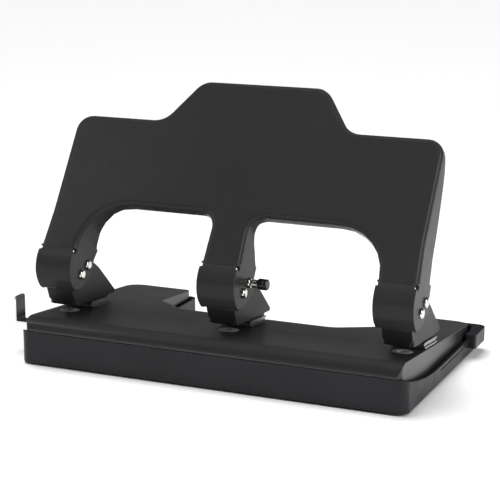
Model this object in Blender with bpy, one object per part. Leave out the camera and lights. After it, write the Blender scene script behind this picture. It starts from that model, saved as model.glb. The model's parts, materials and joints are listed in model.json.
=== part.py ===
"""Lever-operated three hole punch: a sheet-steel lever on three punch heads, a sloping paper deck with a
U-shaped plan, an adjustable paper edge guide, and a snap-on chip tray that carries the rubber feet.

Units are metres, +Z up. The parts are placed about the middle punch head (X = 0), the front face of
the base (Y = 0) and the tray's underside (Z = 0). At the end everything moves so that the origin is the
bottom centre of the bounding box. +X is to the right of the user, who stands on the -Y side and pushes
the paper in towards +Y.
"""

from math import acos, asin, atan2, cos, degrees, pi, radians, sin, tan

import bmesh
import bpy
from mathutils import Matrix, Vector

MM = 0.001
GAP = 0.3 * MM  # clearance kept between neighbouring solids

# Punching layout
HOLE_PITCH = 108.0 * MM  # 4 1/4 inch between holes
HEADS = {"left": -HOLE_PITCH, "middle": 0.0, "right": HOLE_PITCH}
DIE_Y = 35.5 * MM  # hole centre line behind the front face
PAPER_STOP = 10.5 * MM  # from the hole centre line back to the stop
THROAT = 4.5 * MM  # free height under a head, enough for 40 sheets
PUNCH_RADIUS = 3.55 * MM  # 9/32 inch hole

# Base: deck and tray
DECK_SLOPE = radians(5.4)  # falls towards the back
DECK_SHEET = 2.0 * MM
CREASE_Y = 8.0 * MM
CREASE_Z = 27.67 * MM
NOSE_RADIUS = 7.73 * MM
DECK_HALF = 119.0 * MM
DECK_BACK = 139.6 * MM
DECK_FOOT_Z = 4.0 * MM
SCORE_X = (26.5 * MM, 81.0 * MM)  # pressed lines between the heads, by the paper stop
SEAM_Z = 19.6 * MM
FRONT_CORNER = 6.0 * MM
REAR_CORNER = 10.0 * MM
DECK_CORNER = 3.6 * MM  # front corners of the deck, bent tighter than the tray's
CUTOUT_HALF = 74.8 * MM
CUTOUT_FRONT = 76.5 * MM
CUTOUT_CHAMFER = (24.0 * MM, 19.0 * MM)
TRAY_HALF = 122.6 * MM
TRAY_BACK = 143.6 * MM
TRAY_WALL = 1.6 * MM
TRAY_FLOOR = 1.8 * MM
TRAY_LIP = 2.6 * MM  # the tray's inner wall stands this far into the cut-out
FOOT_HEIGHT = 1.2 * MM
TRAY_SIDE_Z = 9.7 * MM
GRIP_X = 127.8 * MM
GRIP_FRONT_Y = 118.8 * MM
GRIP_BOTTOM = 5.0 * MM
GRIP_TOP = 13.6 * MM
FOOT_RADIUS = 6.0 * MM

# Lever. Heights run along the lever from the level where the legs curl under; depths run back from its face
LEAN = radians(33.5)  # rest position, leaning back from upright
LEVER_SHEET = 1.8 * MM
LEVER_BEND = 3.2 * MM
PIVOT_HEIGHT = 24.3 * MM  # above the deck
PIVOT_BEFORE = 7.8 * MM  # in front of the punches
PIVOT_DEPTH = 15.55 * MM
PIVOT_UP = -10.8 * MM
CRANK = 9.05 * MM  # pivot to drive pin
CRANK_ANGLE = radians(33.1)  # above the deck plane at rest
STROKE_ANGLE = radians(55.0)
LEG_HALF = 12.0 * MM
LEVER_HALF = 118.7 * MM
SHOULDER = 89.0 * MM
HUMP = 116.7 * MM
WINDOW_TOP = 32.0 * MM
ROLL_RADIUS = 16.6 * MM
ROLL_DEPTH = 15.8 * MM
ROLL_UP = -5.5 * MM

# Heads. Heights run up from the deck along the punch, distances back from the punch
PLATE_HALF = 9.0 * MM  # outer faces of a bracket's side plates
PLATE_SHEET = 1.6 * MM
PIVOT_RADIUS = 2.25 * MM
DRIVE_RADIUS = 2.0 * MM
HEAD_RADIUS = 3.1 * MM  # rivet heads
HEAD_THICK = 1.4 * MM
DIE_RADIUS = 6.2 * MM
GUIDE_TOP = 12.5 * MM
SHAFT_STEP = 20.5 * MM
YOKE_BOTTOM = 24.8 * MM
YOKE_TOP = 33.2 * MM
YOKE_RADIUS = 4.9 * MM
PUNCH_TIP = 5.0 * MM
SPRING_RADIUS = 4.6 * MM
WIRE = 0.5 * MM

# Lock pin on the middle head
LOCK_TRAVEL = 2.4 * MM
KNOB_START = 18.4 * MM
KNOB_END = 24.2 * MM
KNOB_RADIUS = 3.3 * MM

# Paper edge guide
PAPER_HALF = 139.7 * MM  # half of 11 inches
GUIDE_TAB = 1.2 * MM
TAB_Y = (22.3 * MM, 33.0 * MM)
TAB_TOP = 33.0 * MM
BAR_Y = (22.3 * MM, 31.2 * MM)
BAR_Z = (16.4 * MM, 17.6 * MM)
BAR_END = -70.0 * MM

ARC_STEPS = 5


def clear_scene():
    for item in list(bpy.data.objects):
        bpy.data.objects.remove(item)


def material(name, colour, roughness, metallic=0.0):
    made = bpy.data.materials.new(name)
    made.use_nodes = True
    shader = made.node_tree.nodes["Principled BSDF"]
    shader.inputs["Base Color"].default_value = (*colour, 1.0)
    shader.inputs["Roughness"].default_value = roughness
    shader.inputs["Metallic"].default_value = metallic
    return made


def deck_z(y):
    """Height of the deck's top surface."""
    return CREASE_Z - (y - CREASE_Y) * tan(DECK_SLOPE)


# ---------------------------------------------------------------- outlines


def rounded(corners, steps=ARC_STEPS):
    """A closed outline from (u, v, radius) corners, each radius turned into an arc."""
    outline = []
    for i, (u, v, radius) in enumerate(corners):
        here = Vector((u, v))
        before = Vector(corners[i - 1][:2]) - here
        after = Vector(corners[(i + 1) % len(corners)][:2]) - here
        if radius <= 0:
            outline.append(here)
            continue
        before.normalize()
        after.normalize()
        half = acos(max(-1.0, min(1.0, before.dot(after)))) / 2
        if half > radians(89.5):
            outline.append(here)
            continue
        centre = here + (before + after).normalized() * (radius / sin(half))
        first = here + before * (radius / tan(half)) - centre
        last = here + after * (radius / tan(half)) - centre
        turn = atan2(first.x * last.y - first.y * last.x, first.dot(last))
        for k in range(steps + 1):
            outline.append(centre + Matrix.Rotation(turn * k / steps, 2) @ first)
    return outline


def arc(centre, radius, start, end, steps):
    """Points on an arc, angles in degrees."""
    points = []
    for k in range(steps + 1):
        angle = radians(start + (end - start) * k / steps)
        points.append(Vector((centre[0] + radius * cos(angle), centre[1] + radius * sin(angle))))
    return points


# ---------------------------------------------------------------- solids

AXES = {
    "X": lambda u, v, w: Vector((w, u, v)),
    "Y": lambda u, v, w: Vector((u, w, v)),
    "Z": lambda u, v, w: Vector((u, v, w)),
}


def new_object(name, mesh, look, parent=None, smooth=None):
    mesh.name = name
    made = bpy.data.objects.new(name, mesh)
    bpy.context.scene.collection.objects.link(made)
    if look:
        mesh.materials.append(look)
    if smooth is not None:
        mesh.shade_smooth()
        mesh.set_sharp_from_angle(angle=radians(smooth))
    made.parent = parent
    return made


def prism_mesh(outline, low, high, axis):
    """The outline, in the plane square to the axis, extruded from low to high."""
    body = bmesh.new()
    place = AXES[axis]
    face = body.faces.new([body.verts.new(place(p[0], p[1], low)) for p in outline])
    top = bmesh.ops.extrude_face_region(body, geom=[face])["geom"]
    shift = place(0, 0, high - low)
    bmesh.ops.translate(body, vec=shift, verts=[v for v in top if isinstance(v, bmesh.types.BMVert)])
    bmesh.ops.recalc_face_normals(body, faces=body.faces)
    mesh = bpy.data.meshes.new("prism")
    body.to_mesh(mesh)
    body.free()
    return mesh


def turned_mesh(profile, sides=20, axis="Z", at=(0, 0, 0)):
    """A solid of revolution from (radius, height) points, bottom to top; a radius above 0 at both ends of a
    closed profile leaves a bore."""
    body = bmesh.new()
    ring_of = []
    for radius, height in profile:
        if radius == 0:
            ring_of.append([body.verts.new((0, 0, height))])
            continue
        ring = []
        for k in range(sides):
            angle = 2 * pi * k / sides
            ring.append(body.verts.new((radius * cos(angle), radius * sin(angle), height)))
        ring_of.append(ring)
    pairs = list(zip(ring_of, ring_of[1:]))
    if profile[0][0] > 0 and profile[-1][0] > 0:
        pairs.append((ring_of[-1], ring_of[0]))
    for lower, upper in pairs:
        for k in range(sides):
            corners = [lower[k % len(lower)], lower[(k + 1) % len(lower)]]
            corners += [upper[(k + 1) % len(upper)], upper[k % len(upper)]]
            body.faces.new(list(dict.fromkeys(corners)))
    bmesh.ops.recalc_face_normals(body, faces=body.faces)
    if axis == "X":
        bmesh.ops.rotate(body, verts=body.verts, matrix=Matrix.Rotation(pi / 2, 3, "Y"))
    bmesh.ops.translate(body, verts=body.verts, vec=at)
    mesh = bpy.data.meshes.new("turned")
    body.to_mesh(mesh)
    body.free()
    return mesh


def box_mesh(low, high):
    outline = [(low[0], low[1]), (high[0], low[1]), (high[0], high[1]), (low[0], high[1])]
    return prism_mesh(outline, low[2], high[2], "Z")


def helper(mesh, parent=None):
    """A hidden solid used by a Boolean."""
    made = new_object("helper", mesh, None, parent)
    made.hide_render = True
    made.display_type = "WIRE"
    return made


def boolean(target, mesh, operation):
    step = target.modifiers.new(operation.lower(), "BOOLEAN")
    step.operation = operation
    step.object = helper(mesh, target.parent)


def cut(target, *meshes):
    for mesh in meshes:
        boolean(target, mesh, "DIFFERENCE")


def add(target, *meshes):
    for mesh in meshes:
        boolean(target, mesh, "UNION")


# ---------------------------------------------------------------- base


def base_plan(half, back, corner, cut_inset, front=0.0, front_corner=FRONT_CORNER):
    """The U-shaped plan shared by the deck and the tray. A positive cut_inset widens the rear cut-out."""
    cut_half = CUTOUT_HALF + cut_inset
    cut_front = CUTOUT_FRONT - cut_inset
    return rounded(
        [
            (-half, front, front_corner - front),
            (half, front, front_corner - front),
            (half, back, corner),
            (cut_half, back, 4 * MM),
            (cut_half, cut_front + CUTOUT_CHAMFER[1], 9 * MM),
            (cut_half - CUTOUT_CHAMFER[0], cut_front, 16 * MM),
            (CUTOUT_CHAMFER[0] - cut_half, cut_front, 16 * MM),
            (-cut_half, cut_front + CUTOUT_CHAMFER[1], 9 * MM),
            (-cut_half, back, 4 * MM),
            (-half, back, corner),
        ]
    )


def deck_profile(inset):
    """Side profile of the deck: skirt inside the tray, rounded nose above the seam, then the slope."""
    centre = (CREASE_Y, SEAM_Z + GAP)
    radius = NOSE_RADIUS - inset
    skirt = TRAY_WALL + 1.0 * MM + inset
    seam = SEAM_Z + GAP + inset
    far = 150 * MM
    points = [Vector((skirt, 0.0)), Vector((skirt, seam))]
    start = 180 - degrees(asin(inset / radius))
    points += arc(centre, radius, start, 90 - degrees(DECK_SLOPE), 8)
    points += [Vector((far, deck_z(far) - inset)), Vector((far, 0.0))]
    return points


def shell_solid(name, plan, profile, bottom, parent):
    """The plan extruded upwards and trimmed to the side profile."""
    wide = TRAY_HALF
    made = new_object(name, prism_mesh(plan, bottom, 40 * MM, "Z"), None, parent)
    boolean(made, prism_mesh(profile, -wide, wide, "X"), "INTERSECT")
    return made


def make_deck(look, parent):
    plan = base_plan(DECK_HALF, DECK_BACK, REAR_CORNER, 0, 0.2 * MM, DECK_CORNER)
    deck = shell_solid("deck_frame", plan, deck_profile(0), DECK_FOOT_Z, parent)
    deck.data.materials.append(look)
    inset = DECK_SHEET
    sizes = (DECK_HALF - inset, DECK_BACK - inset, REAR_CORNER - inset)
    inner_plan = base_plan(*sizes, inset, 0.2 * MM + inset, DECK_CORNER)
    inner = shell_solid("helper", inner_plan, deck_profile(inset), 0, parent)
    inner.hide_render = True
    inner.display_type = "WIRE"
    hollow = deck.modifiers.new("hollow", "BOOLEAN")
    hollow.operation = "DIFFERENCE"
    hollow.object = inner
    slot_low = (-DECK_HALF - 5 * MM, BAR_Y[0] - 0.5 * MM, BAR_Z[0] - 0.5 * MM)
    slot_high = (-DECK_HALF + 5 * MM, BAR_Y[1] + 0.5 * MM, BAR_Z[1] + 0.5 * MM)
    cut(deck, box_mesh(slot_low, slot_high))
    # Round the cut-out the flange is short: it ends above the tray's inner wall.
    margin = DECK_SHEET + 1 * MM
    around = base_plan(DECK_HALF + 9 * MM, DECK_BACK + 9 * MM, 14 * MM, -5 * MM, -9 * MM)
    keep = base_plan(DECK_HALF + 8 * MM, DECK_BACK + 8 * MM, 14 * MM, margin, -8 * MM)
    ring = new_object("helper", prism_mesh(around, -5 * MM, TRAY_SIDE_Z + 0.6 * MM, "Z"), None, parent)
    ring.hide_render = True
    ring.display_type = "WIRE"
    cut(ring, prism_mesh(keep, -9 * MM, 60 * MM, "Z"))
    step = deck.modifiers.new("short flange", "BOOLEAN")
    step.operation = "DIFFERENCE"
    step.object = ring
    for side in (-1, 1):
        low, high = sorted((side * SCORE_X[0], side * SCORE_X[1]))
        line = box_mesh((low, PAPER_STOP - 0.9 * MM, -0.45 * MM), (high, PAPER_STOP - 0.1 * MM, 5 * MM))
        boolean(deck, on_deck(line, 0), "DIFFERENCE")
    for x in HEADS.values():
        bore = DIE_RADIUS + GAP
        hole = turned_mesh([(0, -6 * MM), (bore, -6 * MM), (bore, 6 * MM), (0, 6 * MM)])
        boolean(deck, on_deck(hole, x), "DIFFERENCE")
    return deck


def tray_side_curve():
    """Top edge of the tray's side wall: high at the front corner, falling to a low straight run."""
    fall = 58 * MM
    rise = SEAM_Z - TRAY_SIDE_Z
    steps = 8
    start = TRAY_WALL + 1.0 * MM
    points = []
    for k in range(steps + 1):
        y = start + (fall - start) * k / steps
        points.append(Vector((y, TRAY_SIDE_Z + rise * (1 - y / fall) ** 1.9)))
    return points


def make_tray(look):
    outer = base_plan(TRAY_HALF, TRAY_BACK, REAR_CORNER, -TRAY_LIP)
    tray = new_object("chip_tray", prism_mesh(outer, 0, SEAM_Z, "Z"), look)
    curve = tray_side_curve()
    above = [Vector((curve[0].x, 60 * MM))] + curve
    above += [Vector((160 * MM, TRAY_SIDE_Z)), Vector((160 * MM, 60 * MM))]
    cut(tray, prism_mesh(above, -140 * MM, 140 * MM, "X"))
    back = TRAY_BACK - 0.1 * MM
    grip = [
        (TRAY_HALF - 1.0 * MM, GRIP_FRONT_Y, 0),
        (GRIP_X, GRIP_FRONT_Y, 1.5 * MM),
        (GRIP_X, back, 5 * MM),
        (TRAY_HALF - 12.0 * MM, back, 0),
        (TRAY_HALF - 12.0 * MM, back - 5 * MM, 0),
        (TRAY_HALF - 1.0 * MM, back - 14 * MM, 0),
    ]
    add(tray, prism_mesh(rounded(grip), GRIP_BOTTOM, GRIP_TOP, "Z"))
    inset = TRAY_WALL
    hollow = base_plan(TRAY_HALF - inset, TRAY_BACK - inset, REAR_CORNER - inset, inset - TRAY_LIP, inset)
    cut(tray, prism_mesh(hollow, TRAY_FLOOR, 40 * MM, "Z"))
    groove_low = (TRAY_HALF - 0.5 * MM, 64 * MM, 6.9 * MM)
    cut(tray, box_mesh(groove_low, (TRAY_HALF + 0.1 * MM, 110 * MM, 7.7 * MM)))
    for x, y in foot_places():
        stem = [(0, -5 * MM), (2.9 * MM, -5 * MM), (2.9 * MM, 8 * MM), (0, 8 * MM)]
        cut(tray, turned_mesh(stem, 16, at=(x, y, 0)))
    return tray


def foot_places():
    return [(side * 102 * MM, y) for y in (14 * MM, 124 * MM) for side in (-1, 1)]


def make_feet(look):
    names = ("front_left", "front_right", "rear_left", "rear_right")
    profile = [
        (0, 0),
        (FOOT_RADIUS - 0.3 * MM, 0),
        (FOOT_RADIUS, 0.3 * MM),
        (FOOT_RADIUS, FOOT_HEIGHT - GAP),
        (2.5 * MM, FOOT_HEIGHT - GAP),
        (2.5 * MM, FOOT_HEIGHT + TRAY_FLOOR),
        (0, FOOT_HEIGHT + TRAY_FLOOR),
    ]
    for name, (x, y) in zip(names, foot_places()):
        foot = new_object("rubber_foot_" + name, turned_mesh(profile, 16), look, smooth=40)
        foot.location = (x, y, -FOOT_HEIGHT)


# ---------------------------------------------------------------- heads


def head_matrix(x):
    """Frame of a head: origin at the hole on the deck's surface, +Z up along the punch, +Y back."""
    return Matrix.Translation((x, DIE_Y, deck_z(DIE_Y))) @ Matrix.Rotation(-DECK_SLOPE, 4, "X")


def on_deck(mesh, x):
    mesh.transform(head_matrix(x))
    return mesh


def arc_slot_mesh(half_width, low, high):
    """The curved slot in which a drive pin swings, about the pivot, in the head's frame."""
    centre = (-PIVOT_BEFORE, PIVOT_HEIGHT)
    start = degrees(CRANK_ANGLE) + 3
    end = degrees(CRANK_ANGLE - STROKE_ANGLE) - 3
    first = (centre[0] + CRANK * cos(radians(start)), centre[1] + CRANK * sin(radians(start)))
    last = (centre[0] + CRANK * cos(radians(end)), centre[1] + CRANK * sin(radians(end)))
    outline = arc(centre, CRANK + half_width, end, start, 6)
    outline += arc(first, half_width, start, start + 180, 6)[1:]
    outline += arc(centre, CRANK - half_width, start, end, 6)[1:]
    outline += arc(last, half_width, end + 180, end + 360, 6)[1:-1]
    return prism_mesh(outline, low, high, "X")


def side_plate_outline():
    """One side of a head bracket, as (back, up) corners in the head's frame."""
    corners = [
        (-8.2, THROAT / MM, 0.5),
        (-9.7, 8.0, 2.0),
        (-12.9, 14.6, 0.4),
        (-11.6, 17.0, 0.4),
        (-14.4, 20.8, 3.0),
        (-14.6, 27.5, 5.0),
        (-8.6, 32.6, 4.0),
        (3.0, 33.6, 4.0),
        (9.2, 30.9, 4.0),
        (19.9, 24.6, 9.0),
        (29.5, 17.1, 9.0),
        (36.3, 11.7, 6.0),
        (41.3, 7.6, 0.8),
        (41.1, 5.8, 0.4),
        (33.2, 5.6, 0.4),
        (32.2, THROAT / MM, 0.4),
    ]
    return rounded([(y * MM, z * MM, radius * MM) for y, z, radius in corners], 3)


def make_bracket(side, x, look, parent):
    outline = side_plate_outline()
    inner = PLATE_HALF - PLATE_SHEET
    bracket = new_object("head_bracket_" + side, prism_mesh(outline, -PLATE_HALF, -inner, "X"), look, parent)
    wall = [
        (-8.2, THROAT / MM),
        (-9.7, 8.0),
        (-12.9, 14.6),
        (-11.4, 14.6),
        (-8.2, 8.0),
        (-6.7, THROAT / MM),
    ]
    wall = [(y * MM, z * MM) for y, z in wall]
    add(
        bracket,
        prism_mesh(outline, inner, PLATE_HALF, "X"),
        prism_mesh(wall, -inner - 0.5 * MM, inner + 0.5 * MM, "X"),
    )
    for side_x in (-1, 1):
        # The front wall's lower corners are clipped, where the sheet was relieved for bending.
        clip = [(PLATE_HALF - 2.2 * MM, 0), (PLATE_HALF + 5 * MM, 0), (PLATE_HALF + 5 * MM, 10 * MM)]
        clip += [(PLATE_HALF + 1 * MM, 10 * MM), (PLATE_HALF - 2.2 * MM, THROAT + 0.5 * MM)]
        cut(bracket, prism_mesh([(side_x * u, z) for u, z in clip], -20 * MM, -7.3 * MM, "Y"))
    hole_radius = PIVOT_RADIUS + GAP
    hole = [(0, -20 * MM), (hole_radius, -20 * MM), (hole_radius, 20 * MM), (0, 20 * MM)]
    cut(
        bracket,
        turned_mesh(hole, 16, "X", (0, -PIVOT_BEFORE, PIVOT_HEIGHT)),
        arc_slot_mesh(DRIVE_RADIUS + GAP, -20 * MM, 20 * MM),
    )
    place_on_deck(bracket, x)
    return bracket


def place_on_deck(item, x):
    """Moves an object and its helpers, made in the head's frame, to their head."""
    matrix = head_matrix(x)
    item.data.transform(matrix)
    for step in item.modifiers:
        if step.type == "BOOLEAN":
            step.object.data.transform(matrix)


def make_punch_guide(side, x, look, parent):
    inner = PLATE_HALF - PLATE_SHEET - GAP
    block = rounded(
        [
            (-5.9 * MM, THROAT + GAP, 0.6 * MM),
            (16.0 * MM, THROAT + GAP, 0.6 * MM),
            (16.0 * MM, GUIDE_TOP, 1.5 * MM),
            (-5.9 * MM, GUIDE_TOP, 1.5 * MM),
        ],
        2,
    )
    guide = new_object("punch_guide_" + side, prism_mesh(block, -inner, inner, "X"), look, parent)
    bore = PUNCH_RADIUS + GAP
    cut(guide, turned_mesh([(0, 0), (bore, 0), (bore, 20 * MM), (0, 20 * MM)], 24))
    place_on_deck(guide, x)


def make_spacer(side, x, look, parent):
    """Metal block between the deck and a bracket. Its front face stops the paper."""
    top = THROAT - GAP
    profile = rounded(
        [
            (PAPER_STOP, GAP, 0.3 * MM),
            (PAPER_STOP + 22.5 * MM, GAP, 0.3 * MM),
            (PAPER_STOP + 22.5 * MM, top, 0.3 * MM),
            (PAPER_STOP - 2.5 * MM, top, 0.3 * MM),
            (PAPER_STOP, top - 1.4 * MM, 0.3 * MM),
        ],
        2,
    )
    half = PLATE_HALF + 1.2 * MM
    spacer = new_object("throat_spacer_" + side, prism_mesh(profile, -half, half, "X"), look, parent)
    for edge in (-half, half):
        groove = box_mesh(
            (min(edge, edge * 0.92), 0, 1.4 * MM),
            (max(edge, edge * 0.92), 60 * MM, 3.2 * MM),
        )
        cut(spacer, groove)
    place_on_deck(spacer, x)


def make_die(side, x, look, parent):
    profile = [
        (DIE_RADIUS - 0.3 * MM, -0.05 * MM),
        (PUNCH_RADIUS + 0.3 * MM, -0.05 * MM),
        (PUNCH_RADIUS + 0.1 * MM, -0.3 * MM),
        (PUNCH_RADIUS + 0.4 * MM, -3.4 * MM),
        (DIE_RADIUS, -3.4 * MM),
        (DIE_RADIUS, -0.35 * MM),
    ]
    die = new_object("die_" + side, turned_mesh(profile, 32), look, parent, smooth=40)
    place_on_deck(die, x)


def rivet_profile(radius, face, bore=0.0):
    """A pin with a domed head at each end, heads standing off from faces at +-face."""
    inner = face + GAP
    top = inner + HEAD_THICK
    half = [(radius, inner), (HEAD_RADIUS, inner), (HEAD_RADIUS, inner + 0.35 * HEAD_THICK)]
    for share, rise in ((0.93, 0.66), (0.8, 0.86), (0.62, 0.97)):
        half.append((HEAD_RADIUS * share, inner + rise * HEAD_THICK))
    if bore:
        half.append((bore, top))
    else:
        half += [(0.3 * HEAD_RADIUS, top), (0, top)]
    lower = [(r, -z) for r, z in reversed(half)]
    return lower + half


def make_pivot_pin(side, x, look, parent):
    mesh = turned_mesh(rivet_profile(PIVOT_RADIUS, LEG_HALF), 24, "X", (0, -PIVOT_BEFORE, PIVOT_HEIGHT))
    pin = new_object("pivot_pin_" + side, mesh, look, parent, smooth=40)
    place_on_deck(pin, x)


def make_drive_pin(side, x, look, parent):
    hollow = 1.45 * MM if side == "middle" else 0.0
    y = -PIVOT_BEFORE + CRANK * cos(CRANK_ANGLE)
    z = PIVOT_HEIGHT + CRANK * sin(CRANK_ANGLE)
    mesh = turned_mesh(rivet_profile(DRIVE_RADIUS, LEG_HALF, hollow), 24, "X", (0, y, z))
    pin = new_object("drive_pin_" + side, mesh, look, parent, smooth=40)
    place_on_deck(pin, x)


def make_punch(side, x, look, parent):
    profile = [
        (0, PUNCH_TIP + 1.2 * MM),
        (PUNCH_RADIUS, PUNCH_TIP),
        (PUNCH_RADIUS, SHAFT_STEP - 0.5 * MM),
        (3.0 * MM, SHAFT_STEP),
        (3.0 * MM, YOKE_BOTTOM),
        (YOKE_RADIUS, YOKE_BOTTOM),
        (YOKE_RADIUS, YOKE_TOP - 0.5 * MM),
        (YOKE_RADIUS - 0.5 * MM, YOKE_TOP),
        (0, YOKE_TOP),
    ]
    punch = new_object("punch_" + side, turned_mesh(profile, 24), look, parent, smooth=40)
    rest = PIVOT_HEIGHT + CRANK * sin(CRANK_ANGLE)
    reach = DRIVE_RADIUS + GAP
    back = CRANK - PIVOT_BEFORE
    slot = rounded(
        [
            (-reach - 0.5 * MM, rest - reach, reach * 0.99),
            (back + reach + 0.1 * MM, rest - reach, reach * 0.99),
            (back + reach + 0.1 * MM, rest + reach, reach * 0.99),
            (-reach - 0.5 * MM, rest + reach, reach * 0.99),
        ],
        4,
    )
    cut(punch, prism_mesh(slot, -10 * MM, 10 * MM, "X"))
    place_on_deck(punch, x)


def coil_mesh(radius, wire, turns, low, high, axis, at=(0, 0, 0), wire_sides=6, per_turn=14):
    """A round wire wound from low to high, its ends closed."""
    body = bmesh.new()
    count = int(turns * per_turn)
    rings = []
    for k in range(count + 1):
        angle = 2 * pi * k / per_turn
        height = low + wire + (high - low - 2 * wire) * k / count
        out = Vector((cos(angle), sin(angle), 0))
        ring = []
        for j in range(wire_sides):
            around = 2 * pi * j / wire_sides
            point = out * (radius + wire * cos(around)) + Vector((0, 0, height + wire * sin(around)))
            ring.append(body.verts.new(point))
        rings.append(ring)
    for lower, upper in zip(rings, rings[1:]):
        for j in range(wire_sides):
            following = (j + 1) % wire_sides
            body.faces.new([lower[j], lower[following], upper[following], upper[j]])
    body.faces.new(rings[0])
    body.faces.new(rings[-1])
    bmesh.ops.recalc_face_normals(body, faces=body.faces)
    if axis == "X":
        bmesh.ops.rotate(body, verts=body.verts, matrix=Matrix.Rotation(pi / 2, 3, "Y"))
    bmesh.ops.translate(body, verts=body.verts, vec=at)
    mesh = bpy.data.meshes.new("coil")
    body.to_mesh(mesh)
    body.free()
    return mesh


def make_return_spring(side, x, look, parent):
    mesh = coil_mesh(SPRING_RADIUS, WIRE, 4.5, GUIDE_TOP + GAP, YOKE_BOTTOM - GAP, "Z")
    spring = new_object("return_spring_" + side, mesh, look, parent, smooth=60)
    place_on_deck(spring, x)


# ---------------------------------------------------------------- lever


def lever_outline(inset, leg_end):
    """The lever's outline seen from the front, as (across, up) points, moved in by inset."""
    half = LEVER_HALF - inset
    legs = LEG_HALF - inset
    outer_leg = HOLE_PITCH + legs
    inner_leg = HOLE_PITCH - legs
    right = [
        (legs, leg_end, 0),
        (legs - 0.6 * MM, WINDOW_TOP + inset, 9.5 * MM + inset),
        (inner_leg, WINDOW_TOP + inset, 29.3 * MM + inset),
        (inner_leg, leg_end, 0),
        (outer_leg, leg_end, 0),
        (half, 24 * MM, 40 * MM),
        (half, SHOULDER - inset, 10 * MM - inset),
        (60 * MM - 0.53 * inset, SHOULDER - inset, 14 * MM + inset),
        (40.3 * MM - 0.53 * inset, HUMP - inset, 12 * MM - inset),
    ]
    left = [(-u, s, radius) for u, s, radius in reversed(right)]
    return rounded(right + left, 6)


def lever_body_mesh(skin, leg_end, depth, bend):
    """The lever's front and sides as a solid whose face is set back by skin, with a rounded edge."""
    body = bmesh.new()
    steps = 4
    layers = []
    for k in range(steps + 1):
        angle = pi / 2 * k / steps
        layers.append((skin + bend * (1 - sin(angle)), skin + bend * (1 - cos(angle))))
    layers.append((skin, depth))
    rings = []
    for inset, y in layers:
        rings.append([body.verts.new((p.x, y, p.y)) for p in lever_outline(inset, leg_end)])
    count = len(rings[0])
    for lower, upper in zip(rings, rings[1:]):
        for k in range(count):
            following = (k + 1) % count
            body.faces.new([lower[k], lower[following], upper[following], upper[k]])
    body.faces.new(rings[0])
    body.faces.new(rings[-1])
    bmesh.ops.recalc_face_normals(body, faces=body.faces)
    mesh = bpy.data.meshes.new("lever")
    body.to_mesh(mesh)
    body.free()
    return mesh


def beyond(curve, low, high):
    """A cutter for everything deeper than the (up, depth) curve, given in millimetres."""
    points = [(depth * MM, up * MM) for up, depth in curve]
    points += [(60 * MM, points[-1][1]), (60 * MM, points[0][1])]
    return prism_mesh(points, low, high, "X")


INNER_DEPTHS = [(9.2, 24.6), (12, 21.9), (16, 19), (20, 15.5), (24, 13)]
INNER_DEPTHS += [(30, 8.5), (38, 8.5), (44, 6), (130, 6)]
OUTER_DEPTHS = [(9.2, 22.6), (17, 22), (27, 21), (36, 19.9), (45, 18.4), (54.6, 16.5)]
OUTER_DEPTHS += [(63.6, 14.4), (72.6, 11.9), (82, 6.8), (88, 6), (130, 6)]
LOBE = [(1.2, 0.8), (4, 5), (4, 24.6), (2.1, 25), (-1.5, 26), (-4.8, 27.7), (-9.5, 25.9), (-13, 23.7)]
LOBE += [(-17.9, 20.8), (-21.8, 14.4)]


def lobe_outline():
    """Side of a leg's end: straight flange above, the curl in front, the rear lobe behind."""
    centre = (ROLL_DEPTH, ROLL_UP)
    points = [Vector((depth * MM, up * MM)) for up, depth in LOBE]
    points += arc(centre, ROLL_RADIUS, 268, 162, 16)
    return points


def roll_outline():
    centre = (ROLL_DEPTH, ROLL_UP)
    inner = ROLL_RADIUS - LEVER_SHEET
    return arc(centre, ROLL_RADIUS, 160, 265, 18) + arc(centre, inner, 265, 160, 18)


def make_lever(look, parent):
    mesh = lever_body_mesh(0, 0, 26 * MM, LEVER_BEND)
    lever = new_object("lever", mesh, look, parent)
    cut(lever, lever_body_mesh(LEVER_SHEET, -5 * MM, 40 * MM, LEVER_BEND - LEVER_SHEET))
    inner_limit = HOLE_PITCH - 4 * MM
    cut(lever, beyond(INNER_DEPTHS, -inner_limit, inner_limit))
    for side in (-1, 1):
        low, high = sorted((side * inner_limit, side * 130 * MM))
        cut(lever, beyond(OUTER_DEPTHS, low, high))
    for x in HEADS.values():
        for side in (-1, 1):
            low, high = sorted((x + side * LEG_HALF, x + side * (LEG_HALF - LEVER_SHEET)))
            add(lever, prism_mesh(lobe_outline(), low, high, "X"))
        half = LEG_HALF - 0.6 * MM
        add(lever, prism_mesh(roll_outline(), x - half, x + half, "X"))
        for side in (-1, 1):
            notch = turned_mesh([(0, -5 * MM), (1.5 * MM, -5 * MM), (1.5 * MM, 3 * MM), (0, 3 * MM)], 12)
            notch.transform(Matrix.Rotation(-pi / 2, 4, "X"))
            notch.transform(Matrix.Translation((x + side * (LEG_HALF - 0.4 * MM), 0, -0.8 * MM)))
            cut(lever, notch)
        for radius, depth, up in pin_places():
            hole = turned_mesh([(0, -20 * MM), (radius, -20 * MM), (radius, 20 * MM), (0, 20 * MM)], 20, "X")
            hole.transform(Matrix.Translation((x, depth, up)))
            cut(lever, hole)
    shift = Matrix.Translation((0, -PIVOT_DEPTH, -PIVOT_UP))
    lever.data.transform(shift)
    for step in lever.modifiers:
        step.object.data.transform(shift)
    return lever


def pin_places():
    """(hole radius, depth, up) of the pivot and drive pin holes in the lever's flanges."""
    angle = CRANK_ANGLE - DECK_SLOPE
    back, rise = CRANK * cos(angle), CRANK * sin(angle)
    depth = PIVOT_DEPTH + back * cos(LEAN) - rise * sin(LEAN)
    up = PIVOT_UP + back * sin(LEAN) + rise * cos(LEAN)
    return [(PIVOT_RADIUS + GAP, PIVOT_DEPTH, PIVOT_UP), (DRIVE_RADIUS + GAP, depth, up)]


# ---------------------------------------------------------------- lock pin and edge guide


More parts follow.
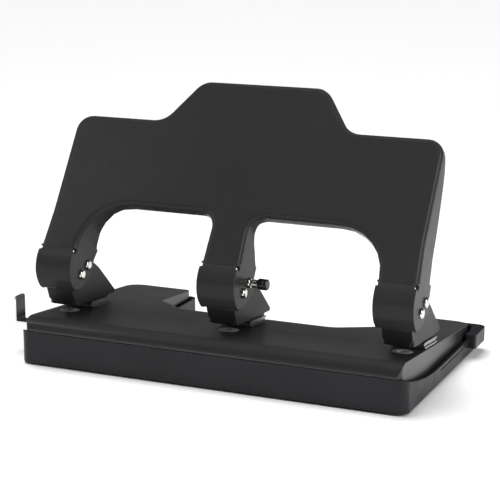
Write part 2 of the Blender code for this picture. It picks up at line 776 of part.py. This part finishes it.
def make_lock(steel, black, lever_frame, lock_frame):
    y = -PIVOT_BEFORE + CRANK * cos(CRANK_ANGLE)
    z = PIVOT_HEIGHT + CRANK * sin(CRANK_ANGLE)
    at = (0, y, z)
    rod = [(0, -9 * MM), (1.1 * MM, -9 * MM), (1.1 * MM, KNOB_END - 2 * MM), (0, KNOB_END - 2 * MM)]
    pin = new_object("lock_pin", turned_mesh(rod, 16, "X", at), steel, lock_frame, smooth=40)
    cup = 1.4 * MM + GAP
    knob = [
        (0, KNOB_END - 2 * MM + GAP),
        (cup, KNOB_END - 2 * MM + GAP),
        (cup, KNOB_START + LOCK_TRAVEL + 0.6 * MM),
        (KNOB_RADIUS - 0.5 * MM, KNOB_START + LOCK_TRAVEL + 0.6 * MM),
        (KNOB_RADIUS - 0.5 * MM, KNOB_START),
        (KNOB_RADIUS - 0.2 * MM, KNOB_START),
        (KNOB_RADIUS, KNOB_START + 0.3 * MM),
        (KNOB_RADIUS, KNOB_END - 2.2 * MM),
        (KNOB_RADIUS - 0.4 * MM, KNOB_END - 2.0 * MM),
        (KNOB_RADIUS - 0.4 * MM, KNOB_END - 1.6 * MM),
        (KNOB_RADIUS, KNOB_END - 1.4 * MM),
        (KNOB_RADIUS, KNOB_END - 0.5 * MM),
        (KNOB_RADIUS - 0.5 * MM, KNOB_END),
        (0, KNOB_END),
    ]
    cap = new_object("lock_knob", turned_mesh(knob, 24, "X", at), black, lock_frame, smooth=40)
    low = LEG_HALF + GAP + HEAD_THICK + 0.1 * MM
    mesh = coil_mesh(2.15 * MM, 0.42 * MM, 4, low, KNOB_START - 0.1 * MM, "X", at, 6, 12)
    spring = new_object("lock_spring", mesh, steel, lever_frame, smooth=60)
    for item in (pin, cap, spring):
        place_on_deck(item, 0)


def make_edge_guide(look, channel_look, guide_frame, frame):
    low = (-PAPER_HALF, BAR_Y[0], BAR_Z[0])
    guide = new_object("edge_guide", box_mesh(low, (BAR_END, BAR_Y[1], BAR_Z[1])), look, guide_frame)
    tab = rounded(
        [
            (TAB_Y[0], BAR_Z[0] + 0.01 * MM, 0.3 * MM),
            (TAB_Y[1], BAR_Z[0] + 0.01 * MM, 0.3 * MM),
            (TAB_Y[1], TAB_TOP, 1.5 * MM),
            (TAB_Y[0], TAB_TOP, 1.5 * MM),
        ],
        3,
    )
    add(guide, prism_mesh(tab, -PAPER_HALF, -PAPER_HALF + GUIDE_TAB, "X"))
    channel_low = (-98 * MM, BAR_Y[0] - 1.6 * MM, BAR_Z[0] - 1.6 * MM)
    channel_high = (-84 * MM, BAR_Y[1] + 1.6 * MM, 22.8 * MM)
    channel = new_object("guide_channel", box_mesh(channel_low, channel_high), channel_look, frame)
    hole_low = (-120 * MM, BAR_Y[0] - GAP, BAR_Z[0] - GAP)
    hole_high = (-60 * MM, BAR_Y[1] + GAP, BAR_Z[1] + GAP)
    cut(channel, box_mesh(hole_low, hole_high))
    return guide


# ---------------------------------------------------------------- assembly


def frame_at(name, location, parent=None, tilt=0.0):
    """An empty on a joint's axis. Its children keep their world positions unless they are made in it."""
    made = bpy.data.objects.new(name, None)
    bpy.context.scene.collection.objects.link(made)
    made.matrix_world = Matrix.Translation(location) @ Matrix.Rotation(tilt, 4, "X")
    if parent:
        made.parent = parent
        made.matrix_parent_inverse = parent.matrix_world.inverted()
    bpy.context.view_layer.update()
    return made


def build():
    black_paint = material("black painted steel", (0.02, 0.021, 0.022), 0.35)
    lever_paint = material("black lever paint", (0.022, 0.023, 0.024), 0.35)
    tray_plastic = material("dark grey plastic", (0.035, 0.036, 0.038), 0.5)
    rubber = material("black rubber", (0.02, 0.02, 0.02), 0.85)
    bracket_steel = material("dark plated steel", (0.16, 0.16, 0.17), 0.4, 1.0)
    steel = material("bright steel", (0.72, 0.72, 0.72), 0.25, 1.0)
    chrome = material("chrome plate", (0.85, 0.85, 0.86), 0.1, 1.0)
    nickel = material("nickel plate", (0.75, 0.73, 0.69), 0.22, 1.0)
    nylon = material("grey nylon", (0.12, 0.12, 0.125), 0.5)
    knob_plastic = material("black knob plastic", (0.02, 0.02, 0.02), 0.4)

    frame = frame_at("frame_axis", (-119 * MM, 70 * MM, 22 * MM))
    pivot = head_matrix(0) @ Vector((0, -PIVOT_BEFORE, PIVOT_HEIGHT))
    lever_frame = frame_at("lever_axis", pivot, frame)
    lever_tilt = frame_at("lever_tilt", pivot, lever_frame, -LEAN)
    lock_frame = frame_at("lock_axis", pivot, lever_frame)
    guide_frame = frame_at("edge_guide_axis", (-PAPER_HALF, BAR_Y[0], BAR_Z[0]), frame)

    make_tray(tray_plastic)
    make_feet(rubber)
    make_deck(black_paint, frame)
    make_lever(lever_paint, lever_tilt)
    for side, x in HEADS.items():
        punch_frame = frame_at("punch_axis_" + side, head_matrix(x).translation, frame)
        make_bracket(side, x, bracket_steel, frame)
        make_punch_guide(side, x, nylon, frame)
        make_spacer(side, x, nickel, frame)
        make_die(side, x, chrome, frame)
        make_pivot_pin(side, x, nickel, frame)
        make_drive_pin(side, x, nickel, lever_frame)
        make_punch(side, x, steel, punch_frame)
        make_return_spring(side, x, steel, frame)
    make_lock(nickel, knob_plastic, lever_frame, lock_frame)
    make_edge_guide(chrome, nylon, guide_frame, frame)
    keep_world_places(lever_tilt)
    set_origin()


def keep_world_places(local_frame):
    """Everything is made in world places, except the lever, which is made in its own tilted frame."""
    for item in bpy.data.objects:
        if item.type == "MESH" and item.parent and item.parent is not local_frame:
            item.matrix_parent_inverse = item.parent.matrix_world.inverted()


def set_origin():
    """Moves the assembly so that the origin is the bottom centre of its bounding box."""
    bpy.context.view_layer.update()
    graph = bpy.context.evaluated_depsgraph_get()
    corners = []
    for item in bpy.data.objects:
        if item.type == "MESH" and not item.hide_render:
            solid = item.evaluated_get(graph)
            corners += [item.matrix_world @ Vector(corner) for corner in solid.bound_box]
    low = [min(corner[i] for corner in corners) for i in range(3)]
    high = [max(corner[i] for corner in corners) for i in range(3)]
    origin = Vector(((low[0] + high[0]) / 2, (low[1] + high[1]) / 2, low[2]))
    for item in bpy.data.objects:
        if item.parent is None:
            item.location -= origin


clear_scene()
build()
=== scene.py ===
"""Looks of the three hole punch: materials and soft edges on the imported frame, fine return springs, a plain
studio and the camera. Everything is in metres in the frame's own axes."""

import json
from math import cos, pi, radians, sin

import bmesh
import bpy
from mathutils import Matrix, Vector


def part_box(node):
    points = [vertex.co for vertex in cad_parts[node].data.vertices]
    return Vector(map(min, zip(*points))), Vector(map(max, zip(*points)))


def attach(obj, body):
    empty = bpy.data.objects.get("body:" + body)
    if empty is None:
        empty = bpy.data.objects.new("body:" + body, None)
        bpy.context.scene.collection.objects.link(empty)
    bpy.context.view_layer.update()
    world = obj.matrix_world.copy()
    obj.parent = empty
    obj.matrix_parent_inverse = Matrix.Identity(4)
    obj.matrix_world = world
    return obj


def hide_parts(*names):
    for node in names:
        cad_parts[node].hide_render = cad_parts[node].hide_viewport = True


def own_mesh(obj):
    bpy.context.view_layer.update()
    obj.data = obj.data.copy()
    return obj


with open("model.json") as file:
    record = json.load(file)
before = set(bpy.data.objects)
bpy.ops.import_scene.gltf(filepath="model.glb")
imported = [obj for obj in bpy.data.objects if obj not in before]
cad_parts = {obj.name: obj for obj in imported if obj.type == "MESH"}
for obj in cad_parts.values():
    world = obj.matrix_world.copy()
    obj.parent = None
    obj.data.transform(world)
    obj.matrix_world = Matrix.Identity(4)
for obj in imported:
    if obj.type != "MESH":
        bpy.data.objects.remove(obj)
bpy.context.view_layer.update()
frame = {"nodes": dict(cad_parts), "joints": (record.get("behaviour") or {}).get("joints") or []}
MM = 0.001
NODES = frame["nodes"]
SIDES = ("left", "middle", "right")

# Shading of edges
BEND_RADIUS = 0.8 * MM
MOULD_RADIUS = 0.5 * MM
# Lighter colours painted on the sharp edges of enamel and plastic: painted highlights along the edges
ENAMEL_EDGE_HIGHLIGHT = (0.1, 0.105, 0.115)
PLASTIC_EDGE_HIGHLIGHT = (0.06, 0.062, 0.066)
WELD_DISTANCE = 0.002 * MM
SMOOTH_BELOW = 38  # degrees between two faces

# Return springs
WIRE = 0.5 * MM
TURNS = 5
FLAT_TURN = 0.6  # the share of a turn that lies flat at each end
STEPS_PER_TURN = 32
WIRE_SIDES = 12

# Studio
SKY_FRONT = 0.2
SKY_BACK = 1.15
FLOOR_HALF = 40.0
FLOOR_WHITE = 0.96
LIT_PLACE = (0, 0, 0.08)


# ---------------------------------------------------------------- materials


class Shader:
    """A Principled material with a few shorthand node builders."""

    def __init__(self, name, colour, roughness, metallic=0.0, specular=0.5):
        self.material = bpy.data.materials.new(name)
        self.material.use_nodes = True
        self.tree = self.material.node_tree
        self.bsdf = self.tree.nodes["Principled BSDF"]
        self.colour = colour
        self.bsdf.inputs["Base Color"].default_value = (*colour, 1)
        self.bsdf.inputs["Roughness"].default_value = roughness
        self.bsdf.inputs["Metallic"].default_value = metallic
        self.bsdf.inputs["Specular IOR Level"].default_value = specular
        self.place = self.tree.nodes.new("ShaderNodeTexCoord").outputs["Object"]
        self.normal = None

    def link(self, output, target):
        self.tree.links.new(output, target)

    def noise(self, scale, detail=3.0, stretch=(1, 1, 1)):
        """Noise of the given scale per metre, optionally stretched along the axes."""
        mapping = self.tree.nodes.new("ShaderNodeMapping")
        mapping.inputs["Scale"].default_value = stretch
        self.link(self.place, mapping.inputs["Vector"])
        node = self.tree.nodes.new("ShaderNodeTexNoise")
        node.inputs["Scale"].default_value = scale
        node.inputs["Detail"].default_value = detail
        self.link(mapping.outputs["Vector"], node.inputs["Vector"])
        return node.outputs["Fac"]

    def between(self, value, low, high, start=0.3, end=0.7):
        """The value remapped from start..end to low..high."""
        node = self.tree.nodes.new("ShaderNodeMapRange")
        node.inputs["From Min"].default_value = start
        node.inputs["From Max"].default_value = end
        node.inputs["To Min"].default_value = low
        node.inputs["To Max"].default_value = high
        self.link(value, node.inputs["Value"])
        return node.outputs["Result"]

    def vary_colour(self, value, dark, light):
        """Drifts the colour between dark and light times itself."""
        ramp = self.tree.nodes.new("ShaderNodeValToRGB")
        for stop, position, factor in zip(ramp.color_ramp.elements, (0.3, 0.7), (dark, light)):
            stop.position = position
            stop.color = (*[c * factor for c in self.colour], 1)
        self.link(value, ramp.inputs["Fac"])
        self.link(ramp.outputs["Color"], self.bsdf.inputs["Base Color"])

    def vary_roughness(self, value, low, high):
        self.link(self.between(value, low, high), self.bsdf.inputs["Roughness"])

    def round_edges(self, radius, highlight_colour):
        """Shades sharp edges as if they were rounded by radius, and paints them lighter in the given colour
        as a painted highlight along the edges.
        """
        rounded = self.tree.nodes.new("ShaderNodeBevel")
        rounded.samples = 6
        rounded.inputs["Radius"].default_value = radius
        flat = self.tree.nodes.new("ShaderNodeNewGeometry")
        turn = self.tree.nodes.new("ShaderNodeVectorMath")
        turn.operation = "DOT_PRODUCT"
        self.link(rounded.outputs["Normal"], turn.inputs[0])
        self.link(flat.outputs["Normal"], turn.inputs[1])
        # edge mask: where the rounded normal turns from the surface normal, the colour is mixed towards the
        # lighter one, a painted highlight on the sharp edges
        edge = self.between(turn.outputs["Value"], 1, 0, 0.8, 0.97)
        colour = self.bsdf.inputs["Base Color"]
        edge_highlight_mix = self.tree.nodes.new("ShaderNodeMix")
        edge_highlight_mix.data_type = "RGBA"
        self.link(edge, edge_highlight_mix.inputs["Factor"])
        self.link(colour.links[0].from_socket, edge_highlight_mix.inputs["A"])
        edge_highlight_mix.inputs["B"].default_value = (*highlight_colour, 1)
        self.link(edge_highlight_mix.outputs["Result"], colour)
        self.normal = rounded.outputs["Normal"]
        self.link(self.normal, self.bsdf.inputs["Normal"])

    def bump(self, value, distance, strength):
        """Raises the surface by the value, on top of any rounded edges."""
        node = self.tree.nodes.new("ShaderNodeBump")
        node.inputs["Distance"].default_value = distance
        node.inputs["Strength"].default_value = strength
        self.link(value, node.inputs["Height"])
        if self.normal:
            self.link(self.normal, node.inputs["Normal"])
        self.link(node.outputs["Normal"], self.bsdf.inputs["Normal"])


def black_enamel(name, colour, roughness, specular):
    """Semi-gloss enamel on sheet steel: a fine orange peel and slight colour drift."""
    paint = Shader(name, colour, roughness, specular=specular)
    paint.vary_colour(paint.noise(12, 4), 0.95, 1.06)
    # rounded edge shading, with the sharp edges painted lighter as a painted highlight
    paint.round_edges(BEND_RADIUS, ENAMEL_EDGE_HIGHLIGHT)
    paint.vary_roughness(paint.noise(60, 4), roughness - 0.02, roughness + 0.03)
    paint.bump(paint.noise(1400, 2), 0.03 * MM, 0.35)
    return paint.material


def moulded_plastic(name, colour, roughness, specular=0.5):
    """Moulded plastic with a fine spark-eroded grain."""
    plastic = Shader(name, colour, roughness, specular=specular)
    plastic.vary_colour(plastic.noise(25), 0.9, 1.12)
    # rounded edge shading, with the sharp edges painted lighter as a painted highlight
    plastic.round_edges(MOULD_RADIUS, PLASTIC_EDGE_HIGHLIGHT)
    plastic.vary_roughness(plastic.noise(90), roughness - 0.06, roughness + 0.06)
    plastic.bump(plastic.noise(3500, 2), 0.05 * MM, 0.4)
    return plastic.material


def plated_steel(name, colour, roughness, grain=(1, 1, 1), metallic=1.0):
    """Plated or ground steel with fine drawing marks along one axis."""
    steel = Shader(name, colour, roughness, metallic)
    steel.vary_colour(steel.noise(150, 4, grain), 0.82, 1.05)
    steel.vary_roughness(steel.noise(500, 4, grain), roughness - 0.06, roughness + 0.1)
    steel.bump(steel.noise(1800, 3, grain), 0.02 * MM, 0.3)
    return steel.material


def foot_rubber(name, colour, roughness):
    """Matt rubber with a dusty grain."""
    rubber = Shader(name, colour, roughness)
    rubber.vary_colour(rubber.noise(200), 0.8, 1.3)
    rubber.bump(rubber.noise(2500, 2), 0.08 * MM, 0.5)
    return rubber.material


def paint_node(node, material):
    """Gives a CAD node its material in every slot."""
    slots = node.material_slots
    for slot in slots:
        slot.link = "OBJECT"
        slot.material = material
    if not slots:
        node.data.materials.append(material)


def paint_all(bright):
    """Gives every CAD node its look. The rivets, the lock pin and the springs share the bright one."""
    drawn = (1, 1, 8)  # marks along the upright pieces
    nylon = moulded_plastic("guide nylon", (0.05, 0.05, 0.052), 0.5)
    bracket = black_enamel("bracket enamel", (0.017, 0.0175, 0.018), 0.42, 0.2)
    looks = {
        "deck_frame": black_enamel("deck enamel", (0.025, 0.0255, 0.0265), 0.32, 0.45),
        "lever": black_enamel("lever enamel", (0.0335, 0.0335, 0.0338), 0.27, 0.1),
        "chip_tray": moulded_plastic("tray plastic", (0.0145, 0.0155, 0.0175), 0.4, 0.22),
        "guide_channel": nylon,
        "lock_knob": moulded_plastic("knob plastic", (0.012, 0.012, 0.012), 0.35),
        "lock_pin": bright,
        "lock_spring": bright,
        "edge_guide": plated_steel("chrome plating", (0.8, 0.8, 0.81), 0.1),
    }
    head_looks = {
        "head_bracket_": bracket,
        "punch_guide_": nylon,
        "throat_spacer_": plated_steel("spacer plating", (0.34, 0.34, 0.33), 0.32, drawn),
        "die_": plated_steel("ground die steel", (0.85, 0.85, 0.86), 0.5, metallic=0.7),
        "pivot_pin_": bright,
        "drive_pin_": bright,
        "punch_": plated_steel("punch steel", (0.6, 0.6, 0.6), 0.25, drawn),
        "return_spring_": bright,
    }
    for side in SIDES:
        for kind, look in head_looks.items():
            looks[kind + side] = look
    rubber = foot_rubber("rubber foot", (0.025, 0.025, 0.026), 0.8)
    for name, node in NODES.items():
        paint_node(node, looks.get(name, rubber))


# ---------------------------------------------------------------- edges


def soften(node):
    """Joins a CAD node's faces and shades its curved faces smoothly, its flat faces flat."""
    mesh = node.data
    if "custom_normal" in mesh.attributes:
        mesh.attributes.remove(mesh.attributes["custom_normal"])
    mesh.shade_smooth()
    weld = node.modifiers.new("weld", "WELD")
    weld.merge_threshold = WELD_DISTANCE
    split = node.modifiers.new("sharp edges", "EDGE_SPLIT")
    split.split_angle = radians(SMOOTH_BELOW)
    flat = node.modifiers.new("flat faces", "WEIGHTED_NORMAL")
    flat.keep_sharp = True


# ---------------------------------------------------------------- return springs


def wound_wire(name, foot, axis, length, radius):
    """A round wire wound up from foot along axis, with its two ends laid flat."""
    body = bmesh.new()
    upright = axis.to_track_quat("Z", "Y")
    rings = []
    for step in range(TURNS * STEPS_PER_TURN + 1):
        turn = step / STEPS_PER_TURN
        climb = min(max((turn - FLAT_TURN) / (TURNS - 2 * FLAT_TURN), 0), 1)
        height = WIRE + (length - 2 * WIRE) * climb
        angle = 2 * pi * turn
        ring = []
        for k in range(WIRE_SIDES):
            around = 2 * pi * k / WIRE_SIDES
            out = radius + WIRE * cos(around)
            point = Vector((out * cos(angle), out * sin(angle), height + WIRE * sin(around)))
            ring.append(body.verts.new(foot + upright @ point))
        rings.append(ring)
    for lower, upper in zip(rings, rings[1:]):
        for k in range(WIRE_SIDES):
            after = (k + 1) % WIRE_SIDES
            body.faces.new([lower[k], lower[after], upper[after], upper[k]])
    body.faces.new(rings[0])
    body.faces.new(rings[-1])
    bmesh.ops.recalc_face_normals(body, faces=body.faces)
    mesh = bpy.data.meshes.new(name)
    body.to_mesh(mesh)
    body.free()
    mesh.shade_smooth()
    mesh.set_sharp_from_angle(angle=radians(50))
    coil = bpy.data.objects.new(name, mesh)
    bpy.context.scene.collection.objects.link(coil)
    return coil


def make_return_spring(side, material):
    """The fine coil that stands for a CAD spring."""
    node = "return_spring_" + side
    slide = next(joint for joint in frame["joints"] if joint["name"] == "punch_slide_" + side)
    axis = -Vector(slide["axis"])
    low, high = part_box(node)
    along = [vertex.co.dot(axis) for vertex in NODES[node].data.vertices]
    length = max(along) - min(along)
    foot = (low + high) / 2 - axis * length / 2
    coil = wound_wire("spring_coil_" + side, foot, axis, length, (high.x - low.x) / 2 - WIRE)
    coil.data.materials.append(material)
    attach(coil, "frame")
    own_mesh(coil)
    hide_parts(node)


# ---------------------------------------------------------------- studio


def make_floor():
    mesh = bpy.data.meshes.new("floor")
    half = FLOOR_HALF
    corners = [(-half, -half, 0), (half, -half, 0), (half, half, 0), (-half, half, 0)]
    mesh.from_pydata(corners, [], [(0, 1, 2, 3)])
    floor = bpy.data.objects.new("floor", mesh)
    bpy.context.scene.collection.objects.link(floor)
    look = Shader("floor", (FLOOR_WHITE, FLOOR_WHITE, FLOOR_WHITE), 0.9)
    look.vary_colour(look.noise(2), 0.99, 1.0)
    mesh.materials.append(look.material)


def make_sky():
    """Dim surroundings that are brighter behind the object than behind the camera."""
    world = bpy.data.worlds.new("studio")
    world.use_nodes = True
    tree = world.node_tree
    place = tree.nodes.new("ShaderNodeTexCoord")
    axes = tree.nodes.new("ShaderNodeSeparateXYZ")
    tree.links.new(place.outputs["Generated"], axes.inputs["Vector"])
    ramp = tree.nodes.new("ShaderNodeMapRange")
    ramp.interpolation_type = "SMOOTHSTEP"
    ramp.inputs["From Min"].default_value = -0.75
    ramp.inputs["From Max"].default_value = 0.25
    ramp.inputs["To Min"].default_value = SKY_FRONT
    ramp.inputs["To Max"].default_value = SKY_BACK
    tree.links.new(axes.outputs["Y"], ramp.inputs["Value"])
    tree.links.new(ramp.outputs["Result"], tree.nodes["Background"].inputs["Strength"])
    bpy.context.scene.world = world


def add_lamp(name, data, place, rotation):
    lamp = bpy.data.objects.new(name, data)
    bpy.context.scene.collection.objects.link(lamp)
    lamp.location = place
    lamp.rotation_euler = rotation.to_euler()
    return lamp


def add_sun(name, towards_light, strength, angle):
    """Even light that comes from the given direction and leaves no highlight."""
    data = bpy.data.lights.new(name, "SUN")
    data.energy = strength
    data.angle = radians(angle)
    lamp = add_lamp(name, data, (0, 0, 0), Vector(towards_light).to_track_quat("Z", "Y"))
    lamp.visible_glossy = False


def add_strip(name, place, size, power):
    """A rectangular light that faces the object and draws highlights on its bends."""
    data = bpy.data.lights.new(name, "AREA")
    data.shape = "RECTANGLE"
    data.size, data.size_y = size
    data.energy = power
    towards_object = Vector(LIT_PLACE) - Vector(place)
    add_lamp(name, data, place, towards_object.to_track_quat("-Z", "Y"))


def make_studio():
    make_floor()
    make_sky()
    add_sun("top", (-0.35, 0.25, 1.0), 3.45, 50)
    add_strip("left strip", (-0.9, -0.5, 0.55), (0.3, 0.9), 3)
    add_strip("right strip", (1.04, -0.2, 0.56), (0.12, 0.9), 8.5)
    bpy.context.scene.view_settings.view_transform = "Standard"


def make_camera():
    data = bpy.data.cameras.new("camera")
    data.sensor_width = 36
    data.lens = 113.6
    data.clip_end = 100
    camera = bpy.data.objects.new("camera", data)
    bpy.context.scene.collection.objects.link(camera)
    camera.location = (0.37715, -0.8537, 0.2932)
    camera.rotation_euler = (radians(76.318), 0, radians(23.614))
    bpy.context.scene.camera = camera


bright_steel = plated_steel("rivet plating", (0.78, 0.76, 0.72), 0.2)
paint_all(bright_steel)
for cad_node in NODES.values():
    soften(cad_node)
for side in SIDES:
    make_return_spring(side, bright_steel)
make_studio()
make_camera()
